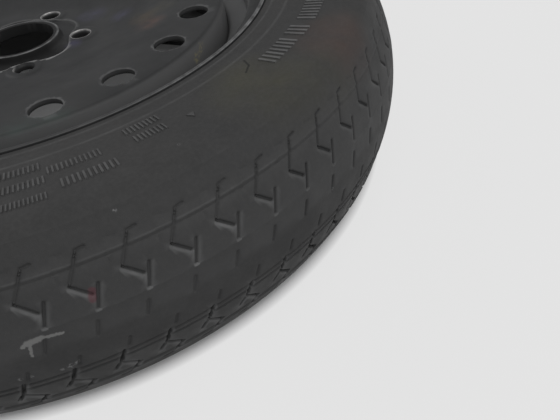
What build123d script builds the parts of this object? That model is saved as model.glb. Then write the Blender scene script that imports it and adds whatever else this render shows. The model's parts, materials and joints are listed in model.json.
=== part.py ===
"""Space saver spare wheel: a narrow temporary tyre on a welded steel wheel with a snap-in valve.

The wheel lies flat with its outer face up. The origin is the centre of the hub mounting face,
and +Z runs along the wheel's axis, out of the outer face. All sizes are in millimetres.
"""
import os
from math import asin, cos, hypot, radians, sin, sqrt, tan

from build123d import *

# Rim: one rolled steel hoop with a drop centre
seat_dia = 380.2            # bead seat diameter of a 15 inch rim
rim_width = 101.6           # between the two flange faces, 4 inches
flange_height = 14.9        # flange edge above the bead seat
flange_lip = 13.1           # how far the rolled lip reaches out past the flange face
rim_gauge = 2.8             # rim sheet
seat_taper = 5.0            # degrees, bead seat towards the well
seat_width = 19.3           # outer bead seat, flange face to the ramp
well_depth = 18.0           # ramp's fall from the bead seat to the well
ramp_lean = 5.5             # how far the ramp leans along the axis over that fall
well_width = 34.0           # flat floor of the well
back_ramp_run = 14.0        # axial run of the ramp on the back side
lip_bend = 5.5              # inside radii of the rolled flange and of the bends below it
heel_bend = 4.0
ledge_bend = 2.5
well_bend = 3.0
back_bend = 6.0

# Disc: one pressed steel dish, welded into the well
disc_gauge = 4.0
offset = 35.0               # mounting face in front of the rim's centre plane
bore_dia = 57.1
collar_height = 8.3         # turned-out lip around the bore, above the mounting face
collar_wall = 3.7
collar_foot_dia = 80.0
collar_round = 1.7          # collar's rounded top edge
hub_dia = 136.0             # flat hub land
crown_start_dia = 252.0     # where the dish levels out
crown_height = 17.9         # outer edge of the dish above the mounting face
crown_fall = 1.0            # the crown's slope from its start to its edge
skirt_depth = 46.2          # skirt below the crown
skirt_fit = 0.1             # skirt to well
dish_bend = 60.0
crown_bend = 5.2
vent_count = 18
vent_dia = 22.4
vent_circle_dia = 293.0
vent_angle = 10.0           # first vent, degrees from +X
lug_count = 5
lug_circle_dia = 100.0
lug_hole_dia = 13.0
lug_angle = 50.0            # first lug hole, degrees from +X
seat_half_angle = 30.0      # conical nut seat
nut_seat_depth = 3.0
boss_dia = 29.0             # coined boss around each nut seat
boss_top_dia = 25.0
boss_height = 0.8
weld_count = 12
weld_leg = 4.0
weld_arc = 14.0             # degrees of each weld run

# Tyre: narrow temporary tyre with a broken zigzag tread
tyre_dia = 592.0
section_width = 130.4
crown_radius = 108.0        # tread across the section
shoulder_radius = 16.5
tread_thickness = 10.8
sidewall_thickness = 6.7
bead_fit = 0.05             # bead to rim
lip_gap = 0.6               # sidewall to the flange lip
lip_cover = 2.9             # sidewall edge below the lip's end
toe_width = 17.5
heel_bevel = 4.5            # bead's bevel under the flange's rolled lip
bead_thickness = 7.5
tread_angle = -1.54         # first zigzag groove's elbow, degrees from +X
pitch_count = 70
groove_width = 2.0
groove_depth = 3.2
groove_top = 45.8           # zigzag groove: heights of its three points above the centre plane
groove_elbow = 33.0
groove_end = 26.2
groove_slant = 8.0          # how far the groove leans round the tread down to its elbow
groove_hook = 8.0           # and back to its end
twin_lead = 15.9            # half-turned twin on the tread's other half: how far its elbow is ahead
twin_drop = 2.0             # and how much further its points lie from the centre plane

# Valve: snap-in rubber valve with a screwed core and a plastic cap
valve_angle = 160.0         # degrees from +X
valve_hole_dia = 11.5
valve_hole_fall = 9.2       # hole's place along the ramp, from the bead seat
valve_neck_fit = 0.05
valve_land_gap = 0.3        # rubber lands to the conical ramp
bulb_dia = 18.0
bulb_land_dia = 13.4
bulb_length = 9.0
foot_dia = 15.0
foot_land_dia = 12.2
foot_height = 3.0
land_taper = 1.6            # height of the tapered edge of both lands
shank_dia = 11.7
shank_height = 17.0         # top of the rubber above the rim
stem_dia = 7.7
stem_height = 26.0          # stem's mouth above the rim
stem_tail = 10.5            # stem's inner end below the rim
stem_bevel = 0.5
stem_bore_dia = 4.0
core_seat_dia = 4.7
core_thread_dia = 5.2
core_thread_depth = 6.0
core_fit = 0.03
plug_drop = 1.0             # core plug's top below the stem's mouth
plug_height = 4.6
plug_hole_dia = 2.2
plug_notch = 1.0
gasket_height = 2.2
barrel_dia = 3.2
barrel_bore_dia = 2.3
barrel_length = 12.0
barrel_floor = 1.0
pin_dia = 1.1
pin_drop = 0.3              # pin's top below the stem's mouth
pin_tail = 0.5              # pin's end below its cup
pin_collar_dia = 2.1
pin_collar_height = 0.8
pin_collar_drop = 0.4       # collar's top below the plug
pin_head_dia = 1.7
pin_head_height = 0.7
pin_fit = 0.05
cup_dia = 3.4
cup_height = 1.2
cup_seal_height = 0.8
cup_gap = 0.02
spring_wire = 0.3
spring_turns = 4
cap_dia = 9.8
cap_skirt = 9.0             # cap's wall below its seal
cap_top = 1.6
cap_bevel = 0.8
cap_fit = 0.07
cap_flute_count = 12
cap_flute_dia = 1.0
cap_flute_length = 7.2
cap_flute_depth = 0.2
seal_height = 0.9
seal_gap = 0.05
seal_hole_dia = 3.6

# Worked out from the sizes above
seat_r = seat_dia / 2
flange_r = seat_r + flange_height
flange_z = rim_width / 2
lip_z = flange_z + flange_lip
ledge_r = seat_r - seat_width * tan(radians(seat_taper))
ledge_z = flange_z - seat_width
well_r = ledge_r - well_depth
well_top_z = ledge_z - ramp_lean
well_low_z = well_top_z - well_width
back_z = well_low_z - back_ramp_run
back_r = seat_r - (back_z + flange_z) * tan(radians(seat_taper))
well_inner_r = well_r - rim_gauge
skirt_r = well_inner_r - skirt_fit
tyre_r = tyre_dia / 2
half_width = section_width / 2
bore_r = bore_dia / 2


def turned(section, angle=360):
    """Turn a flat section, drawn as radius and height, about the wheel's axis."""
    return revolve(section.rotate(Axis.X, 90), Axis.Z, angle)


def shifted(points, gauge):
    """Move an open outline sideways, to its right, with mitred corners."""
    moved = []
    for index, (x, y) in enumerate(points):
        normals = []
        for first, last in ((index - 1, index), (index, index + 1)):
            if first >= 0 and last < len(points):
                dx = points[last][0] - points[first][0]
                dy = points[last][1] - points[first][1]
                normals.append((dy / hypot(dx, dy), -dx / hypot(dx, dy)))
        nx = sum(n[0] for n in normals) / len(normals)
        ny = sum(n[1] for n in normals) / len(normals)
        stretch = gauge / (nx * nx + ny * ny)
        moved.append((x + nx * stretch, y + ny * stretch))
    return moved


def outline(points, radii):
    """Lines through the points, with an arc at each inner point that has a radius."""
    edges, start = [], Vector(*points[0])
    for corner, after, radius in zip(points[1:], points[2:], radii):
        corner, after = Vector(*corner), Vector(*after)
        if radius:
            back, ahead = (start - corner).normalized(), (after - corner).normalized()
            half = radians(back.get_angle(ahead)) / 2
            touch, leave = corner + back * (radius / tan(half)), corner + ahead * (radius / tan(half))
            middle = corner + (back + ahead).normalized() * (radius / sin(half) - radius)
            edges += [Line(start, touch), ThreePointArc(touch, middle, leave)]
            start = leave
        else:
            edges.append(Line(start, corner))
            start = corner
    return edges + [Line(start, Vector(*points[-1]))]


def sheet_section(points, bends, gauge):
    """Section of a bent sheet: its left face runs along the points, and bends are inside radii."""
    left_radii, right_radii = [], []
    for before, corner, after, bend in zip(points, points[1:], points[2:], bends):
        turn = ((corner[0] - before[0]) * (after[1] - corner[1])
                - (corner[1] - before[1]) * (after[0] - corner[0]))
        outside = bend + gauge if bend else 0
        left_radii.append(bend if turn > 0 else outside)
        right_radii.append(outside if turn > 0 else bend)
    right_points = shifted(points, gauge)
    ends = [Line(points[0], right_points[0]), Line(points[-1], right_points[-1])]
    return make_face(outline(points, left_radii) + outline(right_points, right_radii) + ends)


def ring_section(points):
    """Flat section from corner points of radius and height."""
    return make_face(Polyline(*points, close=True))


def around(count, radius, start, shape):
    """Copies of a shape, spaced evenly on a circle about the axis."""
    return [Rot(0, 0, start + 360 / count * k) * Pos(radius, 0, 0) * shape for k in range(count)]


def make_rim():
    profile = [(flange_r, lip_z), (flange_r, flange_z), (seat_r, flange_z), (ledge_r, ledge_z),
               (well_r, well_top_z), (well_r, well_low_z), (back_r, back_z), (seat_r, -flange_z),
               (flange_r, -flange_z), (flange_r, -lip_z)]
    bends = [lip_bend, heel_bend, ledge_bend, well_bend, well_bend, back_bend, heel_bend, lip_bend]
    hoop = Pos(0, 0, -offset) * turned(sheet_section(profile, bends, rim_gauge))
    drill = valve_place() * Cylinder(valve_hole_dia / 2, 8 * rim_gauge)
    return hoop - drill


def make_disc():
    crown_r = crown_start_dia / 2
    dish = [(bore_r, disc_gauge), (hub_dia / 2, disc_gauge), (crown_r, crown_height - crown_fall),
            (skirt_r, crown_height), (skirt_r, crown_height - skirt_depth)]
    pressing = turned(sheet_section(dish, [dish_bend, dish_bend, crown_bend], disc_gauge))
    collar_r = bore_r + collar_wall
    foot_r = collar_foot_dia / 2
    land_r = foot_r + 2 * disc_gauge
    lip = outline([(bore_r, disc_gauge / 2), (bore_r, collar_height), (collar_r, collar_height),
                   (foot_r, disc_gauge), (land_r, disc_gauge), (land_r, disc_gauge / 2)],
                  [0, collar_round, disc_gauge, 0])
    collar = turned(make_face([*lip, Line((land_r, disc_gauge / 2), (bore_r, disc_gauge / 2))]))
    boss_top = disc_gauge + boss_height
    boss = Pos(0, 0, boss_top / 2) * Cone(
        boss_dia / 2 + (boss_dia - boss_top_dia) / 2 * disc_gauge / boss_height, boss_top_dia / 2, boss_top)
    trim = Pos(0, 0, disc_gauge / 2 + boss_top / 2) * Cylinder(boss_dia, boss_top)
    pad = boss & trim
    mouth_r = lug_hole_dia / 2 + nut_seat_depth * tan(radians(seat_half_angle))
    nut_seat = Pos(0, 0, boss_top - nut_seat_depth / 2) * Cone(lug_hole_dia / 2, mouth_r, nut_seat_depth)
    lug_hole = Cylinder(lug_hole_dia / 2, 8 * disc_gauge)
    vent = Pos(0, 0, crown_height) * Cylinder(vent_dia / 2, 6 * disc_gauge)
    disc = pressing + collar + around(lug_count, lug_circle_dia / 2, lug_angle, pad)
    disc -= Cylinder(bore_r, 8 * collar_height)
    disc -= around(lug_count, lug_circle_dia / 2, lug_angle, lug_hole)
    disc -= around(lug_count, lug_circle_dia / 2, lug_angle, nut_seat)
    disc -= around(vent_count, vent_circle_dia / 2, vent_angle, vent)
    return disc


def make_welds():
    """Fillet welds between the skirt's lower edge and the well, seen from behind."""
    skirt_end = crown_height - skirt_depth
    bead = ring_section([(well_inner_r - weld_leg, skirt_end), (well_inner_r, skirt_end),
                         (well_inner_r, skirt_end - weld_leg)])
    run = turned(bead, weld_arc)
    return Compound(children=[Rot(0, 0, 360 / weld_count * k) * run for k in range(weld_count)])


def tyre_section():
    """Half outlines in radius and height from the centre plane, joined with their mirror images."""
    middle_r = tyre_r - crown_radius
    reach = crown_radius - shoulder_radius
    bend_z = half_width - shoulder_radius
    bend_r = middle_r + sqrt(reach ** 2 - bend_z ** 2)
    edge = (middle_r + (bend_r - middle_r) * crown_radius / reach, bend_z * crown_radius / reach)
    widest = (bend_r, half_width)
    face_z = flange_z - bead_fit
    lip_r = flange_r + lip_gap
    lip_edge = lip_z - lip_cover
    taper = tan(radians(seat_taper))
    toe = (seat_r + bead_fit - toe_width * taper, flange_z - toe_width)
    heel_low = (seat_r + bead_fit - heel_bend * taper, flange_z - heel_bend)
    heel_high = (seat_r + heel_bend, face_z)
    wall_foot = (lip_r, lip_edge)
    bead = Polyline(toe, heel_low, heel_high, (lip_r - heel_bevel, face_z), (lip_r, face_z + heel_bevel),
                    wall_foot).edges()
    wall = TangentArc(widest, wall_foot, tangent=(-1, 0))
    shoulder = TangentArc(widest, edge, tangent=(1, 0))
    crown = ThreePointArc(edge, (tyre_r, 0), (edge[0], -edge[1]))
    inner_z = half_width - sidewall_thickness
    lining = [toe, (flange_r, face_z - bead_thickness),
              (flange_r + flange_height, inner_z - bead_thickness / 2), (bend_r, inner_z),
              (tyre_r - tread_thickness, inner_z - shoulder_radius)]
    lining += [(r, -z) for r, z in reversed(lining)]
    half = [*bead, wall, shoulder]
    other = [e.mirror(Plane.XZ) for e in half]
    return make_face([*half, *other, crown, *Polyline(*lining).edges()])


def crown_point(turn, height):
    """Point and outward normal on the crown, at an angle round the wheel and a height."""
    lean = asin(height / crown_radius)
    radius = tyre_r - crown_radius * (1 - cos(lean))
    normal = Vector(cos(lean) * cos(turn), cos(lean) * sin(turn), sin(lean))
    return Vector(radius * cos(turn), radius * sin(turn), height), normal


def groove_cutter(path):
    """Prism along a bent groove, square to the crown at the groove's elbow."""
    elbow, normal = crown_point(*path[1])
    place = Plane(elbow, x_dir=Vector(0, 0, 1).cross(normal), z_dir=normal)
    centre = [place.to_local_coords(crown_point(*point)[0]) for point in path]
    centre = [(point.X, point.Y) for point in centre]
    sides = shifted(centre, groove_width / 2) + shifted(centre, -groove_width / 2)[::-1]
    return place * extrude(ring_section(sides), groove_depth, both=True)


def make_tyre():
    body = turned(tyre_section())
    path = [(groove_slant / tyre_r, groove_top), (0, groove_elbow), (groove_hook / tyre_r, groove_end)]
    twin = [(twin_lead / tyre_r - turn, -height - twin_drop) for turn, height in path]
    cutters = [groove_cutter(path), groove_cutter(twin)]
    body -= [Rot(0, 0, 360 / pitch_count * k + tread_angle) * cutter
             for k in range(pitch_count) for cutter in cutters]
    return Pos(0, 0, -offset) * body


def valve_place():
    """The valve's own frame: its origin is on the ramp's air side, and +Z points out of the rim."""
    slope = hypot(well_depth, ramp_lean)
    normal_r, normal_z = -ramp_lean / slope, well_depth / slope
    hole_r = ledge_r - valve_hole_fall * normal_z + rim_gauge * normal_r
    hole_z = ledge_z + valve_hole_fall * normal_r + rim_gauge * normal_z - offset
    turn = radians(valve_angle)
    return Plane((hole_r * cos(turn), hole_r * sin(turn), hole_z),
                 x_dir=(-sin(turn), cos(turn), 0),
                 z_dir=(normal_r * cos(turn), normal_r * sin(turn), normal_z))


def make_valve():
    """Valve pieces about their own axis, as a dictionary of node names."""
    stem_r = stem_dia / 2
    neck_r = valve_hole_dia / 2 - valve_neck_fit
    land = -rim_gauge - valve_land_gap
    rubber = turned(ring_section([
        (stem_r, land - bulb_length), (bulb_land_dia / 2, land - bulb_length),
        (bulb_dia / 2, land - bulb_length / 2), (bulb_dia / 2, land - land_taper), (bulb_land_dia / 2, land),
        (neck_r, land), (neck_r, valve_land_gap), (foot_land_dia / 2, valve_land_gap),
        (foot_dia / 2, valve_land_gap + land_taper), (foot_dia / 2, foot_height),
        (shank_dia / 2, 2 * foot_height), (shank_dia / 2, shank_height), (stem_r, shank_height)]))
    thread_r = core_thread_dia / 2
    bore_top = stem_height - core_thread_depth
    seat_low = bore_top - gasket_height
    stem = turned(ring_section([
        (stem_bore_dia / 2, -stem_tail), (stem_r, -stem_tail), (stem_r, stem_height - stem_bevel),
        (stem_r - stem_bevel, stem_height), (thread_r, stem_height), (thread_r, bore_top),
        (core_seat_dia / 2, bore_top), (core_seat_dia / 2, seat_low), (stem_bore_dia / 2, seat_low)]))
    plug_top = stem_height - plug_drop
    plug_low = plug_top - plug_height
    plug = turned(ring_section([
        (plug_hole_dia / 2, plug_low), (thread_r - core_fit, plug_low), (thread_r - core_fit, plug_top),
        (plug_hole_dia / 2, plug_top)]))
    plug -= Pos(0, 0, plug_top) * Box(2 * core_thread_dia, pin_head_dia + 2 * pin_fit, 2 * plug_notch)
    barrel_r = barrel_dia / 2
    barrel_low = plug_low - barrel_length
    hole_r = pin_dia / 2 + pin_fit
    barrel = turned(ring_section([
        (hole_r, barrel_low), (barrel_r, barrel_low), (barrel_r, plug_low), (barrel_bore_dia / 2, plug_low),
        (barrel_bore_dia / 2, barrel_low + barrel_floor), (hole_r, barrel_low + barrel_floor)]))
    gasket_top = bore_top - core_fit
    gasket_low = seat_low + core_fit
    gasket = turned(ring_section([
        (barrel_r, gasket_low), (core_seat_dia / 2 - core_fit, gasket_low),
        (core_seat_dia / 2 - core_fit, gasket_top), (barrel_r, gasket_top)]))
    pin_top = stem_height - pin_drop
    collar_top = plug_low - pin_collar_drop
    collar_low = collar_top - pin_collar_height
    cup_seal_top = barrel_low - cup_gap
    cup_top = cup_seal_top - cup_seal_height
    cup_low = cup_top - cup_height
    pin_low = cup_low - pin_tail
    pin = turned(ring_section([
        (0, pin_low), (pin_dia / 2, pin_low), (pin_dia / 2, collar_low), (pin_collar_dia / 2, collar_low),
        (pin_collar_dia / 2, collar_top), (pin_dia / 2, collar_top), (pin_dia / 2, pin_top - pin_head_height),
        (pin_head_dia / 2, pin_top - pin_head_height), (pin_head_dia / 2, pin_top), (0, pin_top)]))
    cup = turned(ring_section([
        (pin_dia / 2, cup_low), (cup_dia / 2, cup_low), (cup_dia / 2, cup_top), (pin_dia / 2, cup_top)]))
    cup_seal = turned(ring_section([
        (pin_dia / 2, cup_top), (cup_dia / 2, cup_top), (cup_dia / 2, cup_seal_top),
        (pin_dia / 2, cup_seal_top)]))
    spring_low = barrel_low + barrel_floor
    spring_r = (barrel_bore_dia / 2 + pin_dia / 2) / 2
    rise = collar_low - spring_low - spring_wire - 2 * pin_fit
    coil = Helix(rise / spring_turns, rise, spring_r)
    spring = Pos(0, 0, spring_low + spring_wire / 2 + pin_fit) * sweep(
        Plane(coil @ 0, x_dir=(1, 0, 0), z_dir=coil % 0) * Rectangle(spring_wire, spring_wire), path=coil)
    seal_low = stem_height + seal_gap
    seal_top = seal_low + seal_height
    cap_bore_r = stem_r + cap_fit
    seal = turned(ring_section([
        (seal_hole_dia / 2, seal_low), (cap_bore_r - cap_fit / 2, seal_low),
        (cap_bore_r - cap_fit / 2, seal_top), (seal_hole_dia / 2, seal_top)]))
    cap_r = cap_dia / 2
    cap_low = seal_low - cap_skirt
    cap_high = seal_top + cap_top
    cap = turned(ring_section([
        (cap_bore_r, cap_low), (cap_r, cap_low), (cap_r, cap_high - cap_bevel), (cap_r - cap_bevel, cap_high),
        (0, cap_high), (0, seal_top), (cap_bore_r, seal_top)]))
    flute = Pos(0, 0, cap_low) * Cylinder(cap_flute_dia / 2, 2 * cap_flute_length)
    cap -= around(cap_flute_count, cap_r + cap_flute_dia / 2 - cap_flute_depth, 0, flute)
    return {"valve_body": rubber, "valve_stem": stem, "core_plug": plug, "core_barrel": barrel,
            "core_gasket": gasket, "core_pin": pin, "core_cup": cup, "cup_seal": cup_seal,
            "core_spring": spring, "cap_seal": seal, "valve_cap": cap}


nodes = {"tyre": make_tyre(), "rim": make_rim(), "disc": make_disc(), "weld_beads": make_welds()}
place = valve_place()
for name, piece in make_valve().items():
    nodes[name] = place * piece

os.makedirs("parts", exist_ok=True)
for name, piece in nodes.items():
    export_step(piece, f"parts/{name}.step")
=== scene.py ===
import json
import math

import bpy
from mathutils import Matrix, Vector
from mathutils.geometry import delaunay_2d_cdt


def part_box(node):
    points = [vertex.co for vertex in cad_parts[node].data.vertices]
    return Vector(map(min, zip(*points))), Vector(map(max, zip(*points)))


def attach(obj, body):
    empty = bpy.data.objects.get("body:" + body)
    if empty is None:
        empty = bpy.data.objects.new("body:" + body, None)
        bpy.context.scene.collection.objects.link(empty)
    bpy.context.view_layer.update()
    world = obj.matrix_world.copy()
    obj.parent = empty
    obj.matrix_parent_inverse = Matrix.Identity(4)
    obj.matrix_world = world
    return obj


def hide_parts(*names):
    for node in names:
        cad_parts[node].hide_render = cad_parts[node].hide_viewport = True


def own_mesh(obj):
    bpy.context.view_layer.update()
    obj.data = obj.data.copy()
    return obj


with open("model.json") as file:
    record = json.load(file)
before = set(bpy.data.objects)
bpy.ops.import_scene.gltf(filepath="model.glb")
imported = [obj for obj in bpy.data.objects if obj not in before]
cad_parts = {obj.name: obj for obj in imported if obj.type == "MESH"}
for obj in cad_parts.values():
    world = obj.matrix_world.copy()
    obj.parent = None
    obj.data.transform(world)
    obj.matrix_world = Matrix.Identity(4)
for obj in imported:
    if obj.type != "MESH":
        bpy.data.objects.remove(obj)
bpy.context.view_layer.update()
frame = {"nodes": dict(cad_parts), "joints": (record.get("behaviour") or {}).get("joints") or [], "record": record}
nodes = frame["nodes"]
mm = 0.001

# places that the frame gives
tyreLow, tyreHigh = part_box("tyre")
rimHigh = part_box("rim")[1]
discLow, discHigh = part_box("disc")
tyreR = tyreHigh[0]
midZ = (tyreLow[2] + tyreHigh[2]) / 2
halfWidth = (tyreHigh[2] - tyreLow[2]) / 2
flangeR = rimHigh[0]
lipZ = rimHigh[2] - midZ
floorZ = tyreLow[2]
joints = {j["name"]: j for j in frame["joints"]}
valveAxis = Vector(joints["cap_turn"]["axis"]).normalized()
valveMouth = Vector(joints["cap_turn"]["pos_m"])
print("frame loaded, tyre radius", round(tyreR, 4), "mid height", round(midZ, 4))


# mesh helpers
def makePiece(name, verts, faces, body, replaced=(), sharp=40):
    mesh = bpy.data.meshes.new(name)
    mesh.from_pydata(verts, [], faces)
    mesh.validate()
    mesh.polygons.foreach_set("use_smooth", [True] * len(mesh.polygons))
    mesh.set_sharp_from_angle(angle=math.radians(sharp))
    piece = bpy.data.objects.new(name, mesh)
    bpy.context.scene.collection.objects.link(piece)
    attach(piece, body)
    if replaced:
        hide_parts(*replaced)
    print("piece", name, len(verts), "points", sum(len(f) - 2 for f in faces), "triangles")
    return piece


def setField(piece, name, values):
    field = piece.data.attributes.new(name, "FLOAT", "POINT")
    field.data.foreach_set("value", values)


def clamp(value):
    return max(0.0, min(1.0, value))


def turnAway(degrees, middle):
    # how far an angle lies from another, in degrees
    return abs((degrees - middle + 180) % 360 - 180)


def spansAt(path, i):
    # directions of the runs that meet at a point of a line
    return [(path[j + 1] - path[j]).normalized() for j in (i - 1, i) if 0 <= j < len(path) - 1]


def onWheel(r, turn, z):
    return (r * math.cos(turn), r * math.sin(turn), z + midZ)


def bentLine(points, radii, step=0.2):
    # straight runs with an arc at each inner point that has a radius
    out = [points[0]]
    for i in range(1, len(points) - 1):
        p = Vector(points[i])
        back = (Vector(points[i - 1]) - p).normalized()
        ahead = (Vector(points[i + 1]) - p).normalized()
        radius = radii[i - 1]
        if not radius:
            out.append(points[i])
            continue
        half = back.angle(ahead) / 2
        centre = p + (back + ahead).normalized() * (radius / math.sin(half))
        start = p + back * (radius / math.tan(half)) - centre
        end = p + ahead * (radius / math.tan(half)) - centre
        swing = start.angle_signed(end)
        count = max(2, round(abs(swing) / step))
        for k in range(count + 1):
            a = -swing * k / count
            out.append((centre.x + start.x * math.cos(a) - start.y * math.sin(a),
                        centre.y + start.x * math.sin(a) + start.y * math.cos(a)))
    out.append(points[-1])
    return out


def turnedRings(verts, faces, profile, count, firstRing=None, lastRing=None, turn0=0.0, closed=False):
    # rings of points about the wheel's axis, joined by quads; profile runs with the outside on its left
    rings = [firstRing] if firstRing else []
    for r, z in profile:
        base = len(verts)
        for k in range(count):
            verts.append(onWheel(r, turn0 + 2 * math.pi * k / count, z))
        rings.append(list(range(base, base + count)))
    if lastRing:
        rings.append(lastRing)
    if closed:
        rings.append(rings[0])
    for a, b in zip(rings, rings[1:]):
        for k in range(count):
            n = (k + 1) % count
            faces.append((a[k], b[k], b[n], a[n]))
    return rings


# tyre
tyreSet = {
    "crownRadius": 108 * mm, "shoulderRadius": 16.5 * mm,
    "lipGap": 0.6 * mm, "lipCover": 0.7 * mm, "footRun": 1.7 * mm, "footDrop": 0.7 * mm,
    "heelBevel": 4.5 * mm, "heelCut": 4.0 * mm, "heelDrop": 0.35 * mm,
    "seatR": 190.15 * mm, "toeR": 188.6 * mm, "faceZ": 50.75 * mm, "toeZ": 33.3 * mm,
    "beadInZ": 43 * mm, "bendIn": (15 * mm, 54.5 * mm), "wallGauge": 6.7 * mm, "treadGauge": 10.8 * mm,
    "liningCorner": 25 * mm, "gridClear": 0.7 * mm, "gridNear": 4.5 * mm, "floorDrop": 0.9 * mm,
    "pitchCount": 70, "cellStart": -0.47, "edgeSteps": 7, "cellTop": 59.2 * mm,
    "gridAcross": 5, "gridUp": 5.0 * mm, "wallRows": 6,
    "lipDrop": 0.25 * mm, "lipSpread": 0.8 * mm, "wallLean": 0.6,
}
# grooves of one pitch: points as (pitches, millimetres above the centre plane), half width, depth
treadGrooves = [
    {"path": [(0.0, 45.6), (-0.28, 33.2)], "half": 1.15, "depth": 0.9},
    {"path": [(-0.29, 32.6), (0.03, 25.0)], "half": 1.15, "depth": 1.3},
    {"path": [(0.01, 46.0), (0.05, 47.7), (0.22, 48.2)], "half": 1.0, "depth": 0.9},
    {"path": [(-0.38, 48.6), (-0.2, 48.0)], "half": 0.35, "depth": 0.25},
    {"path": [(0.20, 29.4), (0.04, 16.8)], "half": 1.2, "depth": 1.2},
    {"path": [(-0.07, 9.0), (-0.17, 0.4)], "half": 1.3, "depth": 1.0},
    {"path": [(0.35, -10.2), (0.27, -16.8)], "half": 1.2, "depth": 1.0},
    {"path": [(0.14, -20.0), (0.0, -29.5), (-0.2, -37.0)], "half": 1.3, "depth": 2.6},
    {"path": [(-0.02, -31.0), (0.33, -40.0), (0.10, -47.4)], "half": 1.3, "depth": 2.6},
    {"path": [(0.09, -47.8), (0.04, -49.6), (-0.16, -50.1)], "half": 0.8, "depth": 0.8},
]
# lines right round the tread: height above the centre plane, half width, rise
treadLines = [(42.6, 0.9, 0.4), (40.6, 0.8, -0.35), (15.2, 0.7, 0.12), (-20.9, 1.3, -1.2),
              (-25.3, 1.3, -1.2), (-43.2, 0.8, -0.5), (-45.4, 1.3, 0.6)]

crownMid = tyreR - tyreSet["crownRadius"]
bendZ = halfWidth - tyreSet["shoulderRadius"]
bendR = crownMid + math.sqrt((tyreSet["crownRadius"] - tyreSet["shoulderRadius"]) ** 2 - bendZ ** 2)
edgeLean = math.atan2(bendZ, bendR - crownMid)
wallFoot = (flangeR + tyreSet["lipGap"], lipZ - tyreSet["lipCover"])
wallRadius = ((bendR - wallFoot[0]) ** 2 + (halfWidth - wallFoot[1]) ** 2) / (2 * (halfWidth - wallFoot[1]))
crownRun = tyreSet["crownRadius"] * edgeLean
shoulderRun = tyreSet["shoulderRadius"] * (math.pi / 2 - edgeLean)
wallRun = wallRadius * math.asin((bendR - wallFoot[0]) / wallRadius)


def tyreSkin(run):
    # point and outward normal at a run along the section, from the crown's centre up
    side = 1 if run >= 0 else -1
    run = abs(run)
    if run <= crownRun:
        a = run / tyreSet["crownRadius"]
        r, z = crownMid + tyreSet["crownRadius"] * math.cos(a), tyreSet["crownRadius"] * math.sin(a)
    elif run <= crownRun + shoulderRun:
        a = edgeLean + (run - crownRun) / tyreSet["shoulderRadius"]
        r, z = bendR + tyreSet["shoulderRadius"] * math.cos(a), bendZ + tyreSet["shoulderRadius"] * math.sin(a)
    else:
        a = math.pi / 2 + (run - crownRun - shoulderRun) / wallRadius
        r, z = bendR + wallRadius * math.cos(a), halfWidth - wallRadius + wallRadius * math.sin(a)
    return r, side * z, math.cos(a), side * math.sin(a)


def runAt(z):
    # run along the section for a height on the crown or the shoulder
    side = 1 if z >= 0 else -1
    z = abs(z)
    if z <= tyreSet["crownRadius"] * math.sin(edgeLean):
        return side * tyreSet["crownRadius"] * math.asin(z / tyreSet["crownRadius"])
    a = math.asin(min(1.0, (z - bendZ) / tyreSet["shoulderRadius"]))
    return side * (crownRun + tyreSet["shoulderRadius"] * (a - edgeLean))


def offsetRing(path, reach):
    # closed outline at a distance from a bent line, with rounded ends
    left, right = [], []
    for i, p in enumerate(path):
        normals = [Vector((-d.y, d.x)) for d in spansAt(path, i)]
        n = sum(normals, Vector((0, 0))) / len(normals)
        n = n * (reach / n.length_squared)
        left.append(p + n)
        right.append(p - n)
    startDir = (path[0] - path[1]).normalized()
    endDir = (path[-1] - path[-2]).normalized()
    caps = []
    for p, d in ((path[-1], endDir), (path[0], startDir)):
        side = Vector((-d.y, d.x))
        caps.append([p + (side * math.cos(a) + d * math.sin(a)) * reach for a in (0.8, math.pi / 2, math.pi - 0.8)])
    return left + caps[0] + right[::-1] + caps[1]


def lineDistance(p, path):
    best = 1.0
    for a, b in zip(path, path[1:]):
        ab = b - a
        t = clamp((p - a).dot(ab) / ab.length_squared)
        best = min(best, (p - a - ab * t).length)
    return best


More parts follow.
